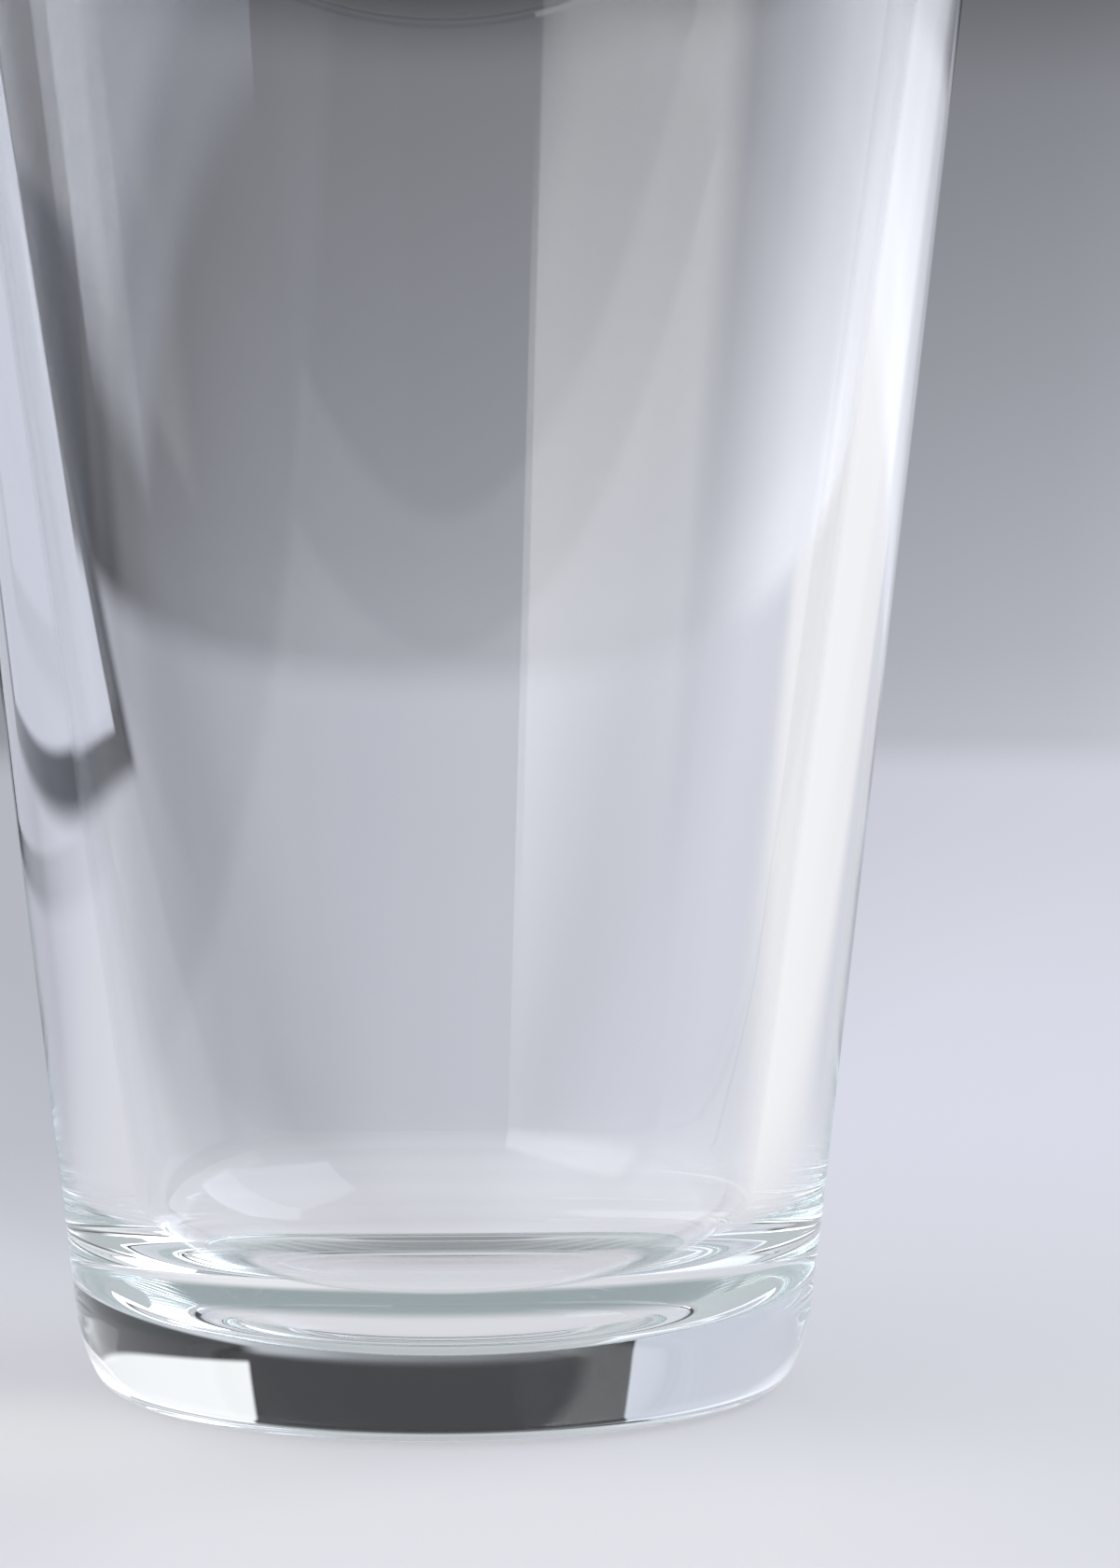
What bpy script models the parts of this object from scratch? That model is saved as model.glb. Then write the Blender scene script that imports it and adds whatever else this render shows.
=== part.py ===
"""Tapered drinking tumbler, pressed in one piece of clear glass.

The glass is one turned solid: a plain cone outside, a cone inside that leaves the wall
thicker towards the foot, a heavy base with a dished floor, a heel that curves in to a small
rounded edge, a flat ring to stand on and a shallow hollow under the base.
Units are metres, +Z is up, and the origin is the centre of the ring that rests on the table.
"""

import math

import bpy

# Driving dimensions
HEIGHT = 0.146
RIM_DIAMETER = 0.0905  # outside, where the wall's line reaches the top
FOOT_DIAMETER = 0.0575  # outside, where the wall's line reaches the table
RIM_WALL = 0.0027  # level thickness of the wall at the top
FOOT_WALL = 0.0060  # level thickness of the wall, carried down to the table
FLOOR_THICKNESS = 0.0047  # glass on the axis, between the hollow below and the floor above
FLOOR_DISH_RADIUS = 0.070  # the floor is part of a sphere, lowest at the middle
FLOOR_CORNER_RADIUS = 0.012  # round between the floor and the wall
HEEL_RADIUS = 0.016  # wide curve that leads the wall inwards above the foot
HEEL_TURN = math.radians(19.3)  # how far that curve turns the wall
EDGE_RADIUS = 0.0025  # small round between the heel and the standing ring
RING_WIDTH = 0.0045  # flat ring that touches the table
HOLLOW_DEPTH = 0.0002  # rise of the shallow hollow inside the ring

# How finely the curves are cut
FACETS_AROUND = 72
FLOOR_FACETS = 8
CORNER_FACETS = 8
RIM_FACETS = 4  # on each side of the top
HEEL_FACETS = 6
EDGE_FACETS = 6
HOLLOW_FACETS = 5

# Clear soda-lime glass
GLASS_TINT = (0.95, 0.98, 0.97, 1.0)
GLASS_ROUGHNESS = 0.02
GLASS_IOR = 1.52

AXIS_MERGE = 0.00001


class WallLine:
    """A straight wall in the half section: its radius grows evenly with height."""

    def __init__(self, radius_at_table, radius_at_top):
        self.radius_at_table = radius_at_table
        self.slope = (radius_at_top - radius_at_table) / HEIGHT
        self.angle = math.atan(self.slope)
        self.stretch = math.hypot(1.0, self.slope)

    def radius(self, height):
        return self.radius_at_table + self.slope * height


def arc(centre, radius, start, end, facets):
    """Points of an arc in the half section, as (radius, height), both ends included."""
    steps = [start + (end - start) * step / facets for step in range(facets + 1)]
    return [(centre[0] + radius * math.cos(a), centre[1] + radius * math.sin(a)) for a in steps]


def floor_points(inner):
    """The dished floor from the axis outwards, and the round that leads up into the wall."""
    floor_height = HOLLOW_DEPTH + FLOOR_THICKNESS
    dish_centre = (0.0, floor_height + FLOOR_DISH_RADIUS)
    # The round touches the wall and the dish, so its centre lies on a line beside the wall
    # and at a known distance from the dish's centre.
    reach = FLOOR_DISH_RADIUS - FLOOR_CORNER_RADIUS
    offset = inner.radius_at_table - FLOOR_CORNER_RADIUS * inner.stretch
    square = 1.0 + inner.slope**2
    linear = inner.slope * offset - dish_centre[1]
    constant = offset**2 + dish_centre[1] ** 2 - reach**2
    corner_height = (-linear - math.sqrt(linear**2 - square * constant)) / square
    corner_centre = (offset + inner.slope * corner_height, corner_height)
    join = math.atan2(corner_centre[1] - dish_centre[1], corner_centre[0])
    dish = arc(dish_centre, FLOOR_DISH_RADIUS, -math.pi / 2, join, FLOOR_FACETS)
    corner = arc(corner_centre, FLOOR_CORNER_RADIUS, join, -inner.angle, CORNER_FACETS)
    dish[0] = (0.0, floor_height)
    return dish + corner[1:]


def rim_points(inner, outer):
    """The fire-polished rim: one round that touches both walls and the top."""
    wall_at_top = outer.radius(HEIGHT) - inner.radius(HEIGHT)
    radius = wall_at_top / (outer.stretch + inner.stretch + outer.slope - inner.slope)
    height = HEIGHT - radius
    centre = (outer.radius(height) - radius * outer.stretch, height)
    inside = arc(centre, radius, math.pi - inner.angle, math.pi / 2, RIM_FACETS)
    outside = arc(centre, radius, math.pi / 2, -outer.angle, RIM_FACETS)
    return inside + outside[1:]


def foot_points(outer):
    """The heel, its edge, the standing ring and the hollow, from the wall in to the axis."""
    edge_angle = outer.angle + HEEL_TURN
    edge_height = EDGE_RADIUS * (1.0 - math.sin(edge_angle))
    heel_top = edge_height + HEEL_RADIUS * (math.sin(edge_angle) - math.sin(outer.angle))
    heel_centre = (
        outer.radius(heel_top) - HEEL_RADIUS * math.cos(outer.angle),
        heel_top + HEEL_RADIUS * math.sin(outer.angle),
    )
    heel = arc(heel_centre, HEEL_RADIUS, -outer.angle, -edge_angle, HEEL_FACETS)
    edge_centre = (heel[-1][0] - EDGE_RADIUS * math.cos(edge_angle), EDGE_RADIUS)
    edge = arc(edge_centre, EDGE_RADIUS, -edge_angle, -math.pi / 2, EDGE_FACETS)
    edge[-1] = (edge_centre[0], 0.0)
    hollow_edge = edge_centre[0] - RING_WIDTH
    dome_radius = (hollow_edge**2 + HOLLOW_DEPTH**2) / (2 * HOLLOW_DEPTH)
    dome_centre = (0.0, HOLLOW_DEPTH - dome_radius)
    dome_angle = math.atan2(-dome_centre[1], hollow_edge)
    hollow = arc(dome_centre, dome_radius, dome_angle, math.pi / 2, HOLLOW_FACETS)
    hollow[0] = (hollow_edge, 0.0)
    hollow[-1] = (0.0, HOLLOW_DEPTH)
    return heel + edge[1:] + hollow


def half_section():
    """The whole outline, from the floor's middle over the rim and down to the hollow's middle."""
    outer = WallLine(FOOT_DIAMETER / 2, RIM_DIAMETER / 2)
    inner = WallLine(FOOT_DIAMETER / 2 - FOOT_WALL, RIM_DIAMETER / 2 - RIM_WALL)
    return floor_points(inner) + rim_points(inner, outer) + foot_points(outer)


def clear_scene():
    for old in list(bpy.data.objects):
        bpy.data.objects.remove(old)


def clear_glass():
    material = bpy.data.materials.new("clear_glass")
    material.use_nodes = True
    shader = material.node_tree.nodes["Principled BSDF"]
    shader.inputs["Base Color"].default_value = GLASS_TINT
    shader.inputs["Roughness"].default_value = GLASS_ROUGHNESS
    shader.inputs["IOR"].default_value = GLASS_IOR
    shader.inputs["Transmission Weight"].default_value = 1.0
    shader.inputs["Metallic"].default_value = 0.0
    return material


def turned(name, outline, material, collection):
    """An object whose outline, given as (radius, height) points, is turned about the Z axis."""
    mesh = bpy.data.meshes.new(name)
    points = [(radius, 0.0, height) for radius, height in outline]
    edges = [(i, i + 1) for i in range(len(points) - 1)]
    mesh.from_pydata(points, edges, [])
    mesh.materials.append(material)
    piece = bpy.data.objects.new(name, mesh)
    collection.objects.link(piece)
    screw = piece.modifiers.new("turn", "SCREW")
    screw.axis = "Z"
    screw.angle = math.tau
    screw.steps = FACETS_AROUND
    screw.render_steps = FACETS_AROUND
    screw.use_merge_vertices = True
    screw.merge_threshold = AXIS_MERGE
    screw.use_smooth_shade = True
    return piece


def main():
    clear_scene()
    collection = bpy.data.collections.new("tumbler")
    bpy.context.scene.collection.children.link(collection)
    turned("tumbler_body", half_section(), clear_glass(), collection)


main()
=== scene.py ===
# %% [markdown]
# # A tapered tumbler of clear glass
#
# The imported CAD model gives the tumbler's place and size. This lesson draws the same glass again
# with finer curves, gives it a real glass finish, and stands it on a pale table in soft light.
# Clear glass shows only what is around it, so much of the lesson is about the surroundings.

import math

import bmesh
import bpy
from mathutils import Matrix


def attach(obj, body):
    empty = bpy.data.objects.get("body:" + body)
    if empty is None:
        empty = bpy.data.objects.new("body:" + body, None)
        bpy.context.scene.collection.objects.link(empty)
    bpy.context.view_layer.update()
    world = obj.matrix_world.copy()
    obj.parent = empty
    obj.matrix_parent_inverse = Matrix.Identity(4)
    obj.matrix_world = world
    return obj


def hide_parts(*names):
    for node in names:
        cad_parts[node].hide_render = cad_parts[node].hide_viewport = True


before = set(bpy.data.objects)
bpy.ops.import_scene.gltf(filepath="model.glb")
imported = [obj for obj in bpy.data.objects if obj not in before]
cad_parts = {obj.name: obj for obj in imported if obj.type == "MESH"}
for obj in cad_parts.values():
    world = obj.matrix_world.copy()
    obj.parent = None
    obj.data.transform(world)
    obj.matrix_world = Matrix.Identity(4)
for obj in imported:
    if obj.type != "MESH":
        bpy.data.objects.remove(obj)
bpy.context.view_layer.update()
scene = bpy.context.scene
print("CAD nodes:", sorted(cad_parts))

# %% [markdown]
# ## The half section
#
# A pressed tumbler is a body of revolution: the mould and the plunger are both turned on a lathe.
# One could stack rings of vertices by hand, but a turned thing is best made as the mould is: draw
# half of the section once, then turn it. The sizes are those of the CAD model, and only the
# steps along the curves are finer, because bent light shows every facet of a coarse curve.

# %% Sizes of the glass, in metres
HEIGHT = 0.146
RIM_RADIUS = 0.04525
FOOT_RADIUS = 0.02875
RIM_WALL = 0.0027
FOOT_WALL = 0.0060
FLOOR_HEIGHT = 0.0049
FLOOR_DISH_RADIUS = 0.070
FLOOR_CORNER_RADIUS = 0.012
HEEL_RADIUS = 0.016
HEEL_TURN = math.radians(19.3)
EDGE_RADIUS = 0.0025
RING_WIDTH = 0.0045
HOLLOW_DEPTH = 0.0002

# Steps along each part of the section
FLOOR_STEPS = 32
CORNER_STEPS = 32
WALL_STEPS = 24
RIM_STEPS = 32
HEEL_STEPS = 40
EDGE_STEPS = 24
RING_STEPS = 4
HOLLOW_STEPS = 24

outer_slope = (RIM_RADIUS - FOOT_RADIUS) / HEIGHT
inner_foot_radius = FOOT_RADIUS - FOOT_WALL
inner_slope = (RIM_RADIUS - RIM_WALL - inner_foot_radius) / HEIGHT
outer_lean = math.atan(outer_slope)
inner_lean = math.atan(inner_slope)
print("The wall leans", round(math.degrees(outer_lean), 2), "degrees outside and",
      round(math.degrees(inner_lean), 2), "degrees inside")

# %% [markdown]
# ## A pencil for the section
#
# The section is a chain of edges drawn by one vertex, the pencil. Spinning a single vertex about
# a centre leaves an arc behind it, and extruding it leaves a straight line. With these two moves
# every round stays a true arc, and each one starts exactly where the last one ended.

# %% Two moves of the pencil
section = bmesh.new()


def swing(pencil, centre, turn, steps):
    """Carries the pencil round a centre, as (radius, height), and returns it at the arc's end."""
    drawn = bmesh.ops.spin(section, geom=[pencil], cent=(centre[0], 0.0, centre[1]),
                           axis=(0.0, -1.0, 0.0), dvec=(0.0, 0.0, 0.0), angle=turn,
                           steps=steps, use_merge=False, use_duplicate=False)
    return [end for end in drawn["geom_last"] if isinstance(end, bmesh.types.BMVert)][0]


def rule(pencil, place, pieces):
    """Draws a straight line to a place, as (radius, height), in equal pieces."""
    start = pencil.co.copy()
    for piece in range(1, pieces + 1):
        drawn = bmesh.ops.extrude_vert_indiv(section, verts=[pencil])
        pencil = drawn["verts"][0]
        pencil.co = start.lerp((place[0], 0.0, place[1]), piece / pieces)
    return pencil


print("The pencil is ready")

# %% [markdown]
# ## Inside: the dished floor and its round corner
#
# The plunger leaves a floor that is part of a wide sphere and a soft corner up to the wall. The
# corner's centre has to lie beside the wall by the corner's radius, and inside the floor's sphere
# by the same amount, so it is where a line meets a circle.

# %% Draw the floor and the inside of the wall
dish_centre = (0.0, FLOOR_HEIGHT + FLOOR_DISH_RADIUS)
corner_reach = FLOOR_DISH_RADIUS - FLOOR_CORNER_RADIUS
corner_start = inner_foot_radius - FLOOR_CORNER_RADIUS * math.hypot(1.0, inner_slope)
square = 1.0 + inner_slope**2
linear = inner_slope * corner_start - dish_centre[1]
constant = corner_start**2 + dish_centre[1] ** 2 - corner_reach**2
corner_height = (-linear - math.sqrt(linear**2 - square * constant)) / square
corner_centre = (corner_start + inner_slope * corner_height, corner_height)
dish_turn = math.atan2(corner_centre[0], dish_centre[1] - corner_height)
corner_turn = math.pi / 2 - inner_lean - dish_turn

pencil = section.verts.new((0.0, 0.0, FLOOR_HEIGHT))
pencil = swing(pencil, dish_centre, dish_turn, FLOOR_STEPS)
pencil = swing(pencil, corner_centre, corner_turn, CORNER_STEPS)
print("The floor meets the wall", round(1000 * pencil.co.z, 2), "mm above the table")

# %% [markdown]
# ## The rim and the outside
#
# The rim is melted smooth, so it is one round that touches both walls and the top. Outside, the
# wall runs straight down and curves in above the foot. A small rounded edge leads to the flat ring
# that the glass stands on, and inside the ring is a shallow hollow.

# %% Draw the rim, the outside and the underside
rim_radius = RIM_WALL / (math.hypot(1.0, outer_slope) + math.hypot(1.0, inner_slope)
                         + outer_slope - inner_slope)
rim_height = HEIGHT - rim_radius
rim_centre = (FOOT_RADIUS + outer_slope * rim_height
              - rim_radius * math.hypot(1.0, outer_slope), rim_height)
rim_start = (rim_centre[0] - rim_radius * math.cos(inner_lean),
             rim_height + rim_radius * math.sin(inner_lean))
pencil = rule(pencil, rim_start, WALL_STEPS)
pencil = swing(pencil, rim_centre, -(math.pi - inner_lean + outer_lean), RIM_STEPS)

edge_lean = outer_lean + HEEL_TURN
heel_top = (HEEL_RADIUS * (math.sin(edge_lean) - math.sin(outer_lean))
            + EDGE_RADIUS * (1.0 - math.sin(edge_lean)))
heel_start = (FOOT_RADIUS + outer_slope * heel_top, heel_top)
heel_centre = (heel_start[0] - HEEL_RADIUS * math.cos(outer_lean),
               heel_top + HEEL_RADIUS * math.sin(outer_lean))
pencil = rule(pencil, heel_start, WALL_STEPS)
pencil = swing(pencil, heel_centre, -HEEL_TURN, HEEL_STEPS)
edge_centre = (pencil.co.x - EDGE_RADIUS * math.cos(edge_lean), EDGE_RADIUS)
pencil = swing(pencil, edge_centre, -(math.pi / 2 - edge_lean), EDGE_STEPS)

hollow_edge = edge_centre[0] - RING_WIDTH
hollow_radius = (hollow_edge**2 + HOLLOW_DEPTH**2) / (2.0 * HOLLOW_DEPTH)
hollow_centre = (0.0, HOLLOW_DEPTH - hollow_radius)
pencil = rule(pencil, (hollow_edge, 0.0), RING_STEPS)
pencil = swing(pencil, hollow_centre, math.asin(hollow_edge / hollow_radius), HOLLOW_STEPS)
pencil.co.x = 0.0
print("The half section has", len(section.verts), "points")

# %% [markdown]
# ## Turn the section
#
# A full spin about the upright axis makes the closed glass. The last step has to meet the first,
# so the spin merges them, and the points that lie on the axis are merged to two poles. The
# normals are recalculated after that, because light bends the wrong way through a face that
# points inwards.

# %% Make the glass
STEPS_AROUND = 256
MERGE_DISTANCE = 1e-6

bmesh.ops.spin(section, geom=section.verts[:] + section.edges[:], cent=(0.0, 0.0, 0.0),
               axis=(0.0, 0.0, 1.0), dvec=(0.0, 0.0, 0.0), angle=math.tau,
               steps=STEPS_AROUND, use_merge=True, use_duplicate=False)
bmesh.ops.remove_doubles(section, verts=section.verts[:], dist=MERGE_DISTANCE)
bmesh.ops.recalc_face_normals(section, faces=section.faces[:])
for face in section.faces:
    face.smooth = True
glass_mesh = bpy.data.meshes.new("tumbler_glass")
section.to_mesh(glass_mesh)
glass_volume = section.calc_volume()
section.free()
tumbler = bpy.data.objects.new("tumbler_glass", glass_mesh)
scene.collection.objects.link(tumbler)
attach(tumbler, "root")
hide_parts("tumbler_body")
print("The glass has", len(glass_mesh.polygons), "faces and", round(1e6 * glass_volume, 1), "cm3")

# %% [markdown]
# ## Clear glass
#
# Soda-lime glass bends light by 1.52 and has a trace of iron, so thick places look faintly green.
# A tinted surface would colour thin and thick places alike, so the tint is an absorption in the
# volume. Pressed glass is also never quite flat: it chills against the mould in long soft ripples,
# which a very weak bump gives.

# %% Node helpers and the glass finish


def new_material(name):
    """An empty node material and its tree."""
    material = bpy.data.materials.new(name)
    material.use_nodes = True
    material.node_tree.nodes.clear()
    return material, material.node_tree


def add(tree, kind, **sockets):
    """A node of a kind, with plain values on its named sockets."""
    node = tree.nodes.new("ShaderNode" + kind)
    for name, value in sockets.items():
        node.inputs[name.replace("_", " ")].default_value = value
    return node


def join(tree, output, socket):
    tree.links.new(output, socket)


GLASS_IOR = 1.52
IRON_TINT = (0.77, 0.86, 0.845, 1.0)
IRON_DENSITY = 5.0
RIPPLE_SCALE = 22.0
RIPPLE_STRETCH = (1.0, 1.0, 0.35)
RIPPLE_DETAIL = 1.5
RIPPLE_ROUGHNESS = 0.4
RIPPLE_HEIGHT = 0.00002

glass, tree = new_material("clear_glass")
surface = add(tree, "BsdfPrincipled", Base_Color=(1.0, 1.0, 1.0, 1.0), Roughness=0.0,
              IOR=GLASS_IOR, Transmission_Weight=1.0)
iron = add(tree, "VolumeAbsorption", Color=IRON_TINT, Density=IRON_DENSITY)
place = add(tree, "TexCoord")
stretch = add(tree, "Mapping", Scale=RIPPLE_STRETCH)
ripple = add(tree, "TexNoise", Scale=RIPPLE_SCALE, Detail=RIPPLE_DETAIL,
             Roughness=RIPPLE_ROUGHNESS)
bump = add(tree, "Bump", Strength=1.0, Distance=RIPPLE_HEIGHT)
output = add(tree, "OutputMaterial")
join(tree, place.outputs["Object"], stretch.inputs["Vector"])
join(tree, stretch.outputs["Vector"], ripple.inputs["Vector"])
join(tree, ripple.outputs["Fac"], bump.inputs["Height"])
join(tree, bump.outputs["Normal"], surface.inputs["Normal"])
join(tree, surface.outputs["BSDF"], output.inputs["Surface"])
join(tree, iron.outputs["Volume"], output.inputs["Volume"])
glass_mesh.materials.append(glass)
print("The glass finish has", len(tree.nodes), "nodes")

# %% [markdown]
# ## Rays that the eye or the glass sends out
#
# The surroundings of glass have two jobs: they light dull things, and they are seen in the glass.
# Light Path tells a ray of the second kind, so each job can have its own tone. These helpers ask
# for such rays, do sums with nodes, and make soft borders.

# %% Helpers for sums and soft borders


def work_out(tree, operation, first, second=0.0):
    """A Math node; each input is another node's output or a plain number."""
    node = tree.nodes.new("ShaderNodeMath")
    node.operation = operation
    for socket, value in zip(node.inputs, (first, second)):
        if isinstance(value, (int, float)):
            socket.default_value = value
        else:
            join(tree, value, socket)
    return node.outputs[0]


def soft_step(tree, value, start, end):
    """Goes smoothly from 0 at start to 1 at end; start may be the larger of the two."""
    step = add(tree, "MapRange", From_Min=start, From_Max=end)
    step.interpolation_type = "SMOOTHSTEP"
    join(tree, value, step.inputs["Value"])
    return step.outputs["Result"]


def blend(tree, share, first, second, kind="MIX"):
    """Two colours mixed, multiplied or added; each is another node's output or a plain colour."""
    node = tree.nodes.new("ShaderNodeMix")
    node.data_type = "RGBA"
    node.blend_type = kind
    inputs = (node.inputs["Factor"], node.inputs[6], node.inputs[7])
    for socket, value in zip(inputs, (share, first, second)):
        if isinstance(value, (float, tuple)):
            socket.default_value = value
        else:
            join(tree, value, socket)
    return node.outputs[2]


def ramp(tree, value, stops, tint=(1.0, 1.0, 1.0)):
    """A colour ramp over a value; each stop is a value and a level of the tint."""
    low, high = stops[0][0], stops[-1][0]
    spread = add(tree, "MapRange", From_Min=low, From_Max=high)
    colours = tree.nodes.new("ShaderNodeValToRGB")
    marks = colours.color_ramp.elements
    marks.remove(marks[-1])
    for number, (angle, level) in enumerate(stops):
        at = (angle - low) / (high - low)
        mark = marks[0] if number == 0 else marks.new(at)
        mark.position = at
        mark.color = (level * tint[0], level * tint[1], level * tint[2], 1.0)
    join(tree, value, spread.inputs["Value"])
    join(tree, spread.outputs["Result"], colours.inputs["Fac"])
    return colours.outputs["Color"]


print("The helpers for sums and soft borders are ready")

# %% Helpers for places and kinds of ray
HALF_BOUNCE = 0.5  # tells one bounce from none


def place_in(tree, kind):
    """The three coordinates of the shaded place, or of the ray's direction in a world."""
    parts = add(tree, "SeparateXYZ")
    join(tree, add(tree, "TexCoord").outputs[kind], parts.inputs["Vector"])
    return parts.outputs["X"], parts.outputs["Y"], parts.outputs["Z"]


def bearing_of(tree, x, y):
    """Degrees to the right of straight behind the glass."""
    return work_out(tree, "MULTIPLY", work_out(tree, "ARCTAN2", x, y), math.degrees(1.0))


def distance(tree, across, along):
    """How long a step is that goes so far across and so far along."""
    squares = [work_out(tree, "MULTIPLY", part, part) for part in (across, along)]
    return work_out(tree, "SQRT", work_out(tree, "ADD", *squares))


def glass_rays(tree, path):
    """1 for rays from a gloss or through glass."""
    return work_out(tree, "MAXIMUM", path.outputs["Is Glossy Ray"],
                    path.outputs["Is Transmission Ray"])


def mirrored_rays(tree, path):
    """1 for rays that a face of the glass has thrown back at least once."""
    return work_out(tree, "GREATER_THAN", path.outputs["Glossy Depth"], HALF_BOUNCE)


def seen_rays(tree, path):
    """1 for rays from the camera or the glass, until they meet a dull surface."""
    any_of = work_out(tree, "MAXIMUM", path.outputs["Is Camera Ray"], glass_rays(tree, path))
    fresh = work_out(tree, "LESS_THAN", path.outputs["Diffuse Depth"], HALF_BOUNCE)
    return work_out(tree, "MULTIPLY", any_of, fresh)


print("The helpers for places and rays are ready")

# %% [markdown]
# ## The table
#
# The glass stands on a pale satin board. It is a large disc that fades out at its far edge, so the
# horizon is soft, as it is behind a lens. Behind the glass a painted shade makes it darker to the
# left, like the backdrop, and painted light makes it palest in front. At the left of the foot a
# pale spot is painted where the glass would gather the light.

# %% Make the table
TABLE_RADIUS = 1.8
TABLE_DROP = 0.0002
TABLE_SEGMENTS = 128

board = bmesh.new()
bmesh.ops.create_circle(board, cap_ends=True, segments=TABLE_SEGMENTS, radius=TABLE_RADIUS)
bmesh.ops.translate(board, verts=board.verts[:], vec=(0.0, 0.0, -TABLE_DROP))
board_mesh = bpy.data.meshes.new("table")
board.to_mesh(board_mesh)
board.free()
table = bpy.data.objects.new("table", board_mesh)
scene.collection.objects.link(table)
print("The table is", 2 * TABLE_RADIUS, "m across")

# %% Tone of the table
TABLE_TONE = (0.70, 0.705, 0.755, 1.0)
PAINTED_FRONT_LIGHT = (0.83, 0.835, 0.87, 1.0)
PAINTED_CAUSTIC_TONE = (0.88, 0.885, 0.91, 1.0)
TABLE_SHADE = ((-180.0, 1.0), (-70.0, 0.94), (-45.0, 0.90), (-34.0, 0.80), (-26.0, 0.61),
               (-17.0, 0.61), (-11.0, 0.56), (-7.0, 0.66), (-4.0, 0.72), (2.0, 0.78), (10.0, 1.0),
               (14.0, 1.06), (40.0, 1.06), (180.0, 1.0))
SHADE_TINT = (0.98, 1.0, 1.06)
SHADE_DEPTH = (-0.02, 0.16)
FRONT_MIDDLE = 0.005
FRONT_DEPTH = (-0.01, -0.05)
FRONT_WIDTH = (0.065, 0.015)
SPOT_PLACE = (-0.031, -0.024)
SPOT_RADIUS = (0.028, 0.004)

satin, tree = new_material("satin_board")
x, y, _ = place_in(tree, "Object")
path = add(tree, "LightPath")
# Painted light: a paler patch of board in front of the glass, where the light falls.
aside = work_out(tree, "ABSOLUTE", work_out(tree, "SUBTRACT", x, FRONT_MIDDLE))
front = work_out(tree, "MULTIPLY", soft_step(tree, y, *FRONT_DEPTH),
                 soft_step(tree, aside, *FRONT_WIDTH))
even_tone = blend(tree, front, TABLE_TONE, PAINTED_FRONT_LIGHT)
# Painted light: a pale spot at the left of the foot, where the glass would gather light.
from_spot = distance(tree, work_out(tree, "SUBTRACT", x, SPOT_PLACE[0]),
                     work_out(tree, "SUBTRACT", y, SPOT_PLACE[1]))
even_tone = blend(tree, soft_step(tree, from_spot, *SPOT_RADIUS), even_tone, PAINTED_CAUSTIC_TONE)
# Painted shade: the board grows darker behind the glass to the left, and a little lighter to the
# right.
turned = bearing_of(tree, x, y)
side = ramp(tree, turned, TABLE_SHADE, SHADE_TINT)
table_tone = blend(tree, soft_step(tree, y, *SHADE_DEPTH), even_tone,
                   blend(tree, 1.0, even_tone, side, "MULTIPLY"))
print("The table's tone is", TABLE_TONE[:3], "and", PAINTED_FRONT_LIGHT[:3], "in front")

# %% [markdown]
# ## What the glass sees of the table
#
# The clear walls show parts of the table that are outside the picture. Behind the glass on the
# right a faint shadow of the glass is painted, and farther right a painted pool of white light. In
# front the table ends below the camera, and at the front left a shade is painted. On the left it
# has a dark edge, and beyond that is a cool window. Close under the heel a painted shade stands
# where the base keeps the light off it. All these are bands of tone on the board that only the rays
# from the glass meet. The front end and the shade are met only by rays that a face of the glass has
# mirrored, so that a look through the glass from behind shows the plain table.

# %% Tone of the table in the glass
SHADOW_SHARE = (0.84, 0.84, 0.84, 1.0)
POOL_TONE = (0.90, 0.90, 0.925, 1.0)
WINDOW_TONE = (0.595, 0.62, 0.715, 1.0)
DARK_TONE = (0.008, 0.009, 0.011, 1.0)
SHADE_TONE = (0.2, 0.205, 0.23, 1.0)
EDGE_TONE = (0.006, 0.009, 0.014, 1.0)
UNDER_SHADE_TONE = (0.30, 0.36, 0.375, 1.0)
SHADOW_SIDE = (1.0, 7.0)
SHADOW_DEPTH = (0.05, 0.15)
POOL_LEAN = 0.3
POOL_SIDE = (0.03, 0.085)
END_ROUND = 0.1
END_CURVE = 0.28
TABLE_END = (-0.237, -0.253)
CORNER_SIDE = (-0.105, -0.125)
CORNER_DEPTH = (0.0, -0.04)
EDGE_LEAN = 0.13
EDGE_PLACE = -0.253
EDGE_BAND = (0.040, 0.012)
EDGE_SIDE = (-17.2, -18.8)
EDGE_DEPTH = (0.10, 0.18)
BEHIND = (0.0, 0.05)
WINDOW_BAND = (-0.010, -0.026)
WINDOW_SIDE = (-20.1, -20.7)
UNDER_INSIDE = (0.0175, 0.021)
UNDER_OUTSIDE = (0.027, 0.025)

beside = work_out(tree, "SUBTRACT", x, work_out(tree, "MULTIPLY", y, POOL_LEAN))
# Painted shadow: the glass's own faint shadow on the board behind it to the right.
shadow = work_out(tree, "MULTIPLY", soft_step(tree, turned, *SHADOW_SIDE),
                  soft_step(tree, y, *SHADOW_DEPTH))
in_glass = blend(tree, shadow, table_tone, blend(tree, 1.0, table_tone, SHADOW_SHARE, "MULTIPLY"))
# Painted light: a pool of white light on the board farther to the right.
in_glass = blend(tree, soft_step(tree, beside, *POOL_SIDE), in_glass, POOL_TONE)
wide = distance(tree, x, END_ROUND)
ahead = work_out(tree, "ADD", y, work_out(tree, "MULTIPLY", wide, END_CURVE))
mirrored = mirrored_rays(tree, path)
ended = work_out(tree, "MULTIPLY", soft_step(tree, ahead, *TABLE_END), mirrored)
in_glass = blend(tree, ended, in_glass, DARK_TONE)
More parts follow.
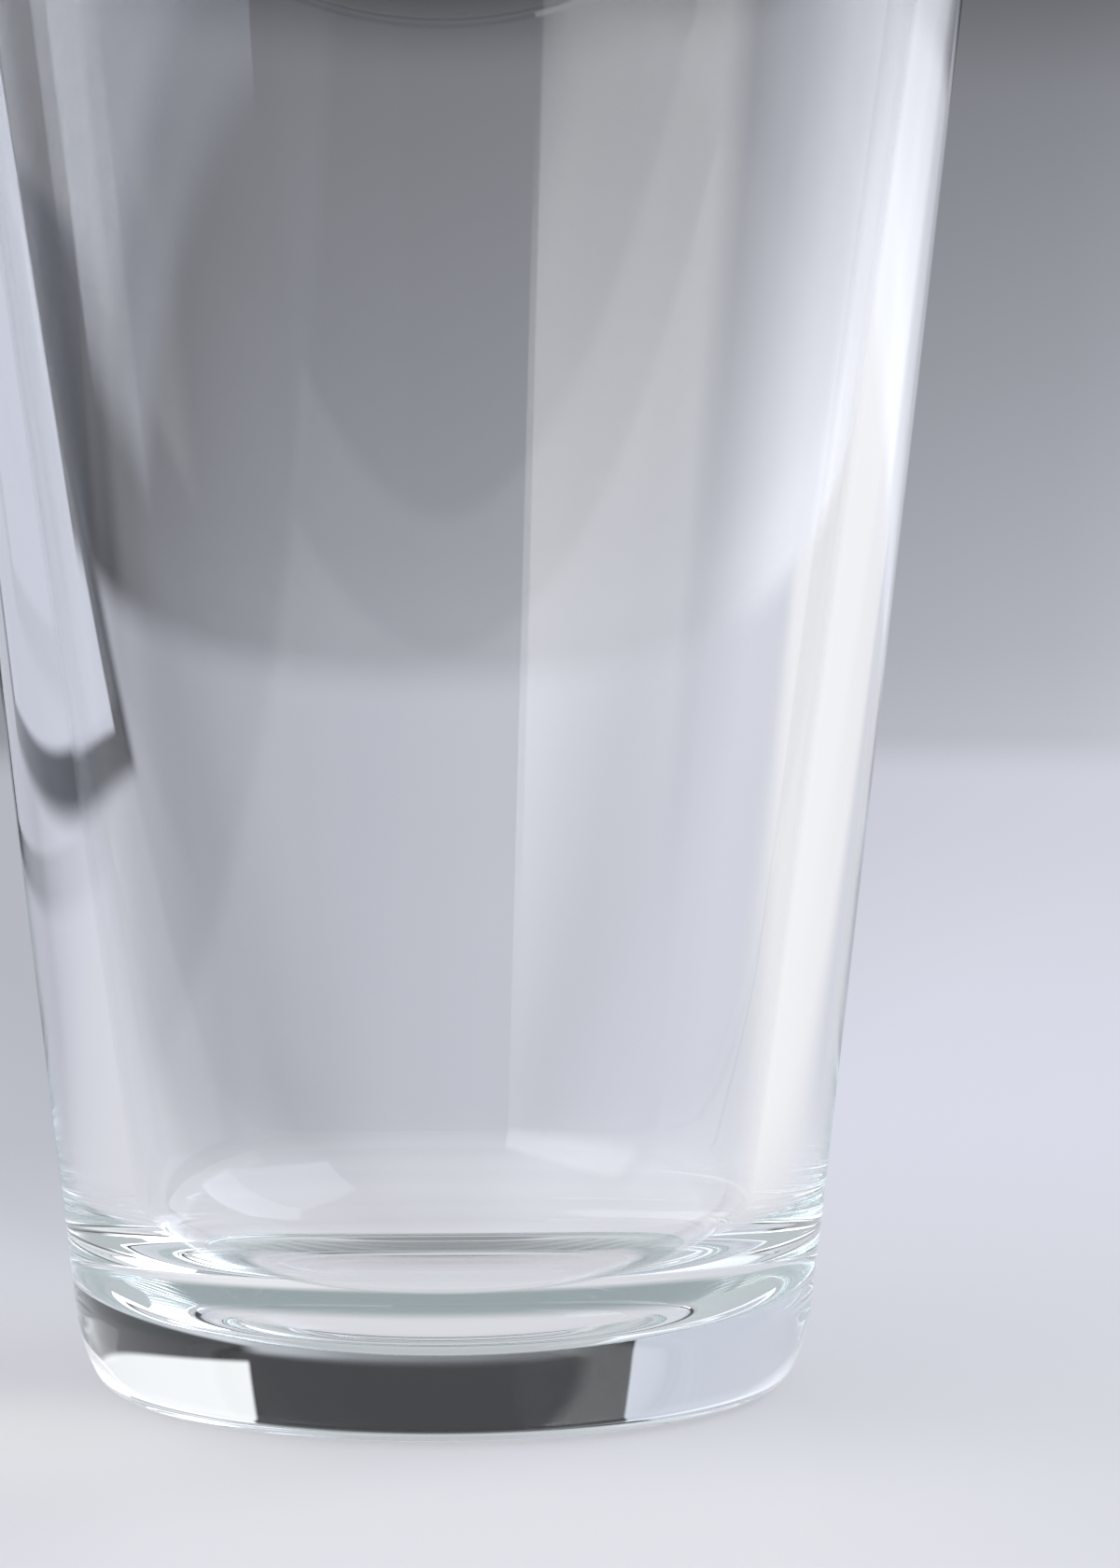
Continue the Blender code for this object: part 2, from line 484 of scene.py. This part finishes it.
# Painted shade: the board at the front left, seen only in mirrored rays.
shaded = work_out(tree, "MULTIPLY", soft_step(tree, beside, *CORNER_SIDE),
                  soft_step(tree, y, *CORNER_DEPTH))
in_glass = blend(tree, work_out(tree, "MULTIPLY", shaded, mirrored), in_glass, SHADE_TONE)
leaned = work_out(tree, "SUBTRACT", x, work_out(tree, "MULTIPLY", y, EDGE_LEAN))
from_edge = work_out(tree, "SUBTRACT", leaned, EDGE_PLACE)
behind = soft_step(tree, y, *BEHIND)
edge = work_out(tree, "MULTIPLY", soft_step(tree, from_edge, *EDGE_BAND),
                soft_step(tree, turned, *EDGE_SIDE))
edge = work_out(tree, "MULTIPLY", edge,
                work_out(tree, "MAXIMUM", mirrored, soft_step(tree, y, *EDGE_DEPTH)))
in_glass = blend(tree, work_out(tree, "MULTIPLY", edge, behind), in_glass, EDGE_TONE)
window = work_out(tree, "MULTIPLY", soft_step(tree, from_edge, *WINDOW_BAND),
                  soft_step(tree, turned, *WINDOW_SIDE))
in_glass = blend(tree, work_out(tree, "MULTIPLY", window, behind), in_glass, WINDOW_TONE)
reach = distance(tree, x, y)
# Painted shade: a darker ring on the board close under the heel, where the base keeps the light off
# it.
under = work_out(tree, "MULTIPLY", soft_step(tree, reach, *UNDER_INSIDE),
                 soft_step(tree, reach, *UNDER_OUTSIDE))
in_glass = blend(tree, under, in_glass, UNDER_SHADE_TONE)
seen_tone = blend(tree, glass_rays(tree, path), table_tone, in_glass)
print("The glass sees a pool of", POOL_TONE[:3], "and a window of", WINDOW_TONE[:3])

# %% [markdown]
# ## Put the table's material together
#
# Most of the tone is a glow that only the eye and the glass see, which keeps the board even and
# carries its painted light and shade. The rest is a real satin surface, and on it the light draws
# the soft shadow.

# %% Finish the table
TABLE_COLOUR = (0.78, 0.79, 0.83, 1.0)
TABLE_ROUGHNESS = 0.45
TABLE_GLOSS = 0.3
GLOW_SHARE = 0.6
GLASS_SHARE = 0.4
FADE = (0.99, 1.42)

glow = add(tree, "Emission", Strength=1.0)
join(tree, seen_tone, glow.inputs["Color"])
lit = add(tree, "BsdfPrincipled", Base_Color=TABLE_COLOUR, Roughness=TABLE_ROUGHNESS,
          Specular_IOR_Level=TABLE_GLOSS)
more = work_out(tree, "MULTIPLY", glass_rays(tree, path), GLASS_SHARE)
share = work_out(tree, "MULTIPLY", seen_rays(tree, path), work_out(tree, "ADD", more, GLOW_SHARE))
toned = add(tree, "MixShader")
join(tree, share, toned.inputs["Fac"])
join(tree, lit.outputs["BSDF"], toned.inputs[1])
join(tree, glow.outputs["Emission"], toned.inputs[2])
ending = add(tree, "MixShader")
join(tree, soft_step(tree, reach, *FADE), ending.inputs["Fac"])
join(tree, toned.outputs["Shader"], ending.inputs[1])
join(tree, add(tree, "BsdfTransparent").outputs["BSDF"], ending.inputs[2])
join(tree, ending.outputs["Shader"], add(tree, "OutputMaterial").inputs["Surface"])
board_mesh.materials.append(satin)
print("The table's material has", len(tree.nodes), "nodes and fades from", FADE[0], "m")

# %% [markdown]
# ## The backdrop and the room
#
# Behind the table hangs a grey backdrop, pale at the foot and dark above, darker to the left and
# almost white to the right. Far left is the cool window with a dark strip before it. On the right
# is a white window above a dark sill, which the base of the glass shows upside down. Above the
# backdrop the glass sees a dark room, and high up a ring of soft light, which the base shows in
# thin curves. It could all be painted walls, but gradients in the world need no size, and parts of
# it can be shown to the glass alone.

# %% Tones of the world
BACKDROP = ((-10.0, 0.62), (-2.0, 0.525), (-1.0, 0.47), (2.75, 0.345), (6.5, 0.242), (8.5, 0.11),
            (11.0, 0.056), (28.0, 0.03), (40.0, 0.03))
BACKDROP_TINT = (0.965, 1.0, 1.11)
BACKDROP_SHADE = ((-180.0, 1.0), (-40.0, 1.0), (-20.0, 0.55), (-10.0, 0.48), (-7.0, 0.55),
                  (-3.0, 0.70), (2.0, 0.78), (9.0, 1.0), (12.0, 1.3), (14.0, 1.5),
                  (16.0, 1.62), (20.0, 1.74), (24.0, 2.3), (40.0, 1.84), (70.0, 1.8), (100.0, 1.0),
                  (180.0, 1.0))
RIGHT_TINT = (1.01, 1.0, 0.98, 1.0)
RIGHT_SIDES = ((9.0, 25.0), (140.0, 80.0))
LEFT_SIDES = ((-9.5, -16.5), (-30.0, -25.0))
WINDOW_SIDES = (WINDOW_SIDE, (-88.0, -80.0))
WINDOW_TOP = (45.0, 30.0)
RING_LIGHT = ((13.0, 0.0), (18.0, 0.45), (40.0, 0.58), (60.0, 0.70), (72.0, 0.22), (90.0, 0.15))
RING_TINT = (0.97, 1.0, 1.05)
DARK_SIDES = ((19.0, 23.0), (95.0, 85.0))
DARK_RISE = ((6.2, 7.0), (23.0, 17.0))
DARK_SLOPE = -0.08
DARK_ABOVE = (5.3, 7.0)
WHITE_TONE = (0.99, 0.995, 1.01, 1.0)
WHITE_SIDES = ((21.2, 22.0), (100.0, 90.0))
WHITE_RISE = ((5.0, 5.7), (16.0, 13.0))
SILL_SLOPE = 0.10
SLOPE_END = 60.0

world = bpy.data.worlds.new("studio")
scene.world = world
world.use_nodes = True
tree = world.node_tree
tree.nodes.clear()
path = add(tree, "LightPath")
x, y, z = place_in(tree, "Generated")
bearing = bearing_of(tree, x, y)
rise = work_out(tree, "MULTIPLY", work_out(tree, "ARCSINE", z), math.degrees(1.0))


def patch(sides, heights, slope=0.0):
    """1 inside a part of the world that only the glass sees, with soft borders. Its heights may
    rise or fall to the right, up to the bearing where the slope ends."""
    inside = glass_rays(tree, path)
    sloped = work_out(tree, "MULTIPLY", work_out(tree, "MINIMUM", bearing, SLOPE_END), slope)
    for value, borders in ((bearing, sides), (work_out(tree, "SUBTRACT", rise, sloped), heights)):
        for start, end in borders:
            inside = work_out(tree, "MULTIPLY", inside, soft_step(tree, value, start, end))
    return inside


hung = blend(tree, 1.0, ramp(tree, rise, BACKDROP, BACKDROP_TINT),
             ramp(tree, bearing, BACKDROP_SHADE), "MULTIPLY")
to_right = work_out(tree, "MULTIPLY", soft_step(tree, bearing, *RIGHT_SIDES[0]),
                    soft_step(tree, bearing, *RIGHT_SIDES[1]))
hung = blend(tree, to_right, hung, blend(tree, 1.0, hung, RIGHT_TINT, "MULTIPLY"))
hung = blend(tree, patch(LEFT_SIDES, ()), hung, DARK_TONE)
hung = blend(tree, patch((), (DARK_ABOVE,)), hung, DARK_TONE)
hung = blend(tree, patch(DARK_SIDES, DARK_RISE, DARK_SLOPE), hung, DARK_TONE)
hung = blend(tree, patch(WHITE_SIDES, WHITE_RISE, SILL_SLOPE), hung, WHITE_TONE)
hung = blend(tree, patch(WINDOW_SIDES, (WINDOW_TOP,)), hung, WINDOW_TONE)
all_seen = blend(tree, 1.0, hung, ramp(tree, rise, RING_LIGHT, RING_TINT), "ADD")
print("The window is from", WINDOW_SIDES[0][0], "to", WINDOW_SIDES[1][1], "degrees")

# %% Join the world
ROOM_COLOUR = (0.95, 0.96, 1.0, 1.0)
ROOM_STRENGTH = 0.75
backdrop = add(tree, "Background", Strength=1.0)
join(tree, all_seen, backdrop.inputs["Color"])
room = add(tree, "Background", Color=ROOM_COLOUR, Strength=ROOM_STRENGTH)
choose = add(tree, "MixShader")
join(tree, seen_rays(tree, path), choose.inputs["Fac"])
join(tree, room.outputs["Background"], choose.inputs[1])
join(tree, backdrop.outputs["Background"], choose.inputs[2])
join(tree, choose.outputs["Shader"], add(tree, "OutputWorld").inputs["Surface"])
print("The world has", len(tree.nodes), "nodes")

# %% [markdown]
# ## Soft boxes
#
# Glass is drawn by the bright and dark shapes around it. A strong soft box stands at the left of
# the camera, and two cool ones side by side at its right. Each is a lit sheet whose borders fade to
# nothing. The camera doesn't see it, but the glass does.

# %% A maker of soft boxes


def around(bearing, distance, height):
    """A place by its bearing from the camera's side, its distance and its height."""
    turn = math.radians(bearing)
    return (math.sin(turn) * distance, -math.cos(turn) * distance, height)


def soft_box(name, near, far, top, colour, strength, far_share, borders):
    """A lit upright sheet. far_share is the part of the strength that is left at the far end, and
    borders are the soft shares of the near, far, bottom and top sides."""
    sheet = bmesh.new()
    lay = sheet.loops.layers.uv.new("sheet")
    corners = (near, far, (far[0], far[1], top), (near[0], near[1], top))
    face = sheet.faces.new([sheet.verts.new(corner) for corner in corners])
    for loop, spot in zip(face.loops, ((0.0, 0.0), (1.0, 0.0), (1.0, 1.0), (0.0, 1.0))):
        loop[lay].uv = spot
    mesh = bpy.data.meshes.new(name)
    sheet.to_mesh(mesh)
    sheet.free()
    box = bpy.data.objects.new(name, mesh)
    scene.collection.objects.link(box)
    box.visible_camera = False
    box.visible_shadow = False
    material, tree = new_material(name)
    along, up, _ = place_in(tree, "UV")
    kept = work_out(tree, "ADD", 1.0)
    for value, start, border in zip((along, along, up, up), (0.0, 1.0, 0.0, 1.0), borders):
        if border > 0.0:
            edge = soft_step(tree, value, start, start + border * (1.0 - 2.0 * start))
            kept = work_out(tree, "MULTIPLY", kept, edge)
    level = add(tree, "MapRange", To_Min=strength, To_Max=strength * far_share)
    join(tree, along, level.inputs["Value"])
    lit = add(tree, "Emission", Color=(*colour, 1.0))
    join(tree, level.outputs["Result"], lit.inputs["Strength"])
    shown = add(tree, "MixShader")
    join(tree, kept, shown.inputs["Fac"])
    join(tree, add(tree, "BsdfTransparent").outputs["BSDF"], shown.inputs[1])
    join(tree, lit.outputs["Emission"], shown.inputs[2])
    join(tree, shown.outputs["Shader"], add(tree, "OutputMaterial").inputs["Surface"])
    mesh.materials.append(material)
    print(name, "is", len(mesh.polygons), "sheet from", near, "to", far)


# %% Make the soft boxes
soft_box("strong_front_box", near=around(-26.0, 0.9, 0.06), far=around(-92.0, 0.6, 0.06), top=0.45,
         colour=(1.0, 1.0, 1.0), strength=2.7, far_share=0.7, borders=(0.02, 0.1, 0.45, 0.25))
soft_box("cool_wing", near=around(54.0, 0.5, 0.28), far=around(106.0, 0.5, 0.15), top=0.7,
         colour=(0.95, 1.0, 1.14), strength=2.2, far_share=1.0, borders=(0.02, 0.0, 0.05, 0.1))
soft_box("cool_far_wing", near=around(106.0, 0.5, 0.15), far=around(130.0, 0.5, 0.15), top=0.7,
         colour=(0.96, 1.0, 1.1), strength=3.0, far_share=1.0, borders=(0.0, 0.1, 0.05, 0.1))

# %% [markdown]
# ## The camera
#
# The picture is taken close up with a long lens, a little above the foot and looking down by a few
# degrees, so the rim is out of the frame and the walls converge downwards.

# %% Make the camera
IMAGE_HEIGHT = 1680
FOCAL_PIXELS = 4512
SENSOR = 36.0
CAMERA_PLACE = (0.0, -0.33606, 0.06411)
LOOK_DOWN = 2.81
LOOK_RIGHT = 1.59
TILT = 0.09
CLIP_START = 0.01

camera_data = bpy.data.cameras.new("camera")
camera_data.sensor_width = SENSOR
camera_data.lens = SENSOR * FOCAL_PIXELS / IMAGE_HEIGHT
camera_data.clip_start = CLIP_START
camera = bpy.data.objects.new("camera", camera_data)
scene.collection.objects.link(camera)
camera.matrix_world = (Matrix.Translation(CAMERA_PLACE)
                       @ Matrix.Rotation(-math.radians(LOOK_RIGHT), 4, "Z")
                       @ Matrix.Rotation(math.radians(90.0 - LOOK_DOWN), 4, "X")
                       @ Matrix.Rotation(-math.radians(TILT), 4, "Z"))
scene.camera = camera
print("The lens is", round(camera_data.lens, 2), "mm")

# %% [markdown]
# ## Light that goes far inside glass
#
# A ray in the thick base is thrown from face to face dozens of times before it comes out. The usual
# limits would stop it and leave black patches beside the floor, so the numbers of bounces go up.

# %% Set the bounces and finish
scene.cycles.max_bounces = 96
scene.cycles.glossy_bounces = 80
scene.cycles.transmission_bounces = 80
scene.cycles.transparent_max_bounces = 16
scene.view_settings.view_transform = "Standard"
